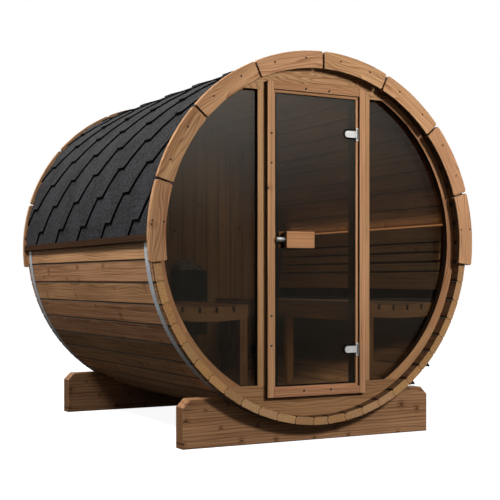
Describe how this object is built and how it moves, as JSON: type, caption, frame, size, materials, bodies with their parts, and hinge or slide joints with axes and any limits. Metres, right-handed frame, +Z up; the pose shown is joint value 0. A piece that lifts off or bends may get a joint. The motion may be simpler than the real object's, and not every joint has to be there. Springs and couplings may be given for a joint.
{
  "type": "barrel sauna",
  "caption": "Timber barrel sauna on two saddles, with a shingled upper half, a glazed front wall with a hinged glass door, and benches and a heater inside.",
  "frame": {"origin": "on the ground, below the middle of the barrel", "axes": "+Z up, -Y towards the glazed front, +X to the right seen from the front, +Y along the barrel to the rear"},
  "size_m": [2.05, 2.17, 2.1178],
  "materials": {
    "stave_wood": "oiled",
    "fascia_wood": "oiled",
    "wall_wood": "oiled",
    "frame_wood": "oiled",
    "saddle_wood": "sawn",
    "batten_wood": "stained",
    "bench_wood": "planed",
    "roof_felt": "mineral grit",
    "hoop_steel": "galvanised",
    "satin_steel": "satin",
    "case_steel": "satin",
    "stones": "rough",
    "window_glass": "tinted",
    "light_cover": "diffusing"
  },
  "bodies": {
    "barrel": {"front_saddle": "saddle_wood", "rear_saddle": "saddle_wood", "staves_top": "stave_wood", "staves_bottom": "stave_wood", "staves_upper_left": "stave_wood", "staves_upper_right": "stave_wood", "staves_lower_left": "stave_wood", "staves_lower_right": "stave_wood", "front_fascia": "fascia_wood", "rear_fascia": "fascia_wood", "roof_left": "roof_felt", "roof_right": "roof_felt", "eave_battens": "batten_wood", "front_hoop": "hoop_steel", "rear_hoop": "hoop_steel", "wall_header": "wall_wood", "wall_threshold": "wall_wood", "wall_jambs": "wall_wood", "left_wall_curve": "wall_wood", "right_wall_curve": "wall_wood", "left_window": "window_glass", "right_window": "window_glass", "door_frame_left": "frame_wood", "door_frame_right": "frame_wood", "door_frame_top": "frame_wood", "door_frame_bottom": "frame_wood", "hinge_plates": "satin_steel", "rear_wall": "wall_wood", "vent": "frame_wood", "floor": "bench_wood", "floor_bearers": "bench_wood", "bench_slats": "bench_wood", "bench_aprons": "bench_wood", "bench_bearers": "bench_wood", "bench_legs": "bench_wood", "backrests": "bench_wood", "backrest_uprights": "bench_wood", "light_strips": "light_cover", "heater": "case_steel", "heater_stones": "stones"},
    "door": {"door_glass": "window_glass", "door_hinges": "satin_steel", "door_handle": "frame_wood", "door_catch": "satin_steel"}
  },
  "joints": [
    {"name": "door_hinge", "type": "hinge", "parent": "barrel", "child": "door", "pos_m": [0.2605, -1.016, 1.0925], "axis": [0, 0, 1], "range_deg": [0, 105]}
  ]
}
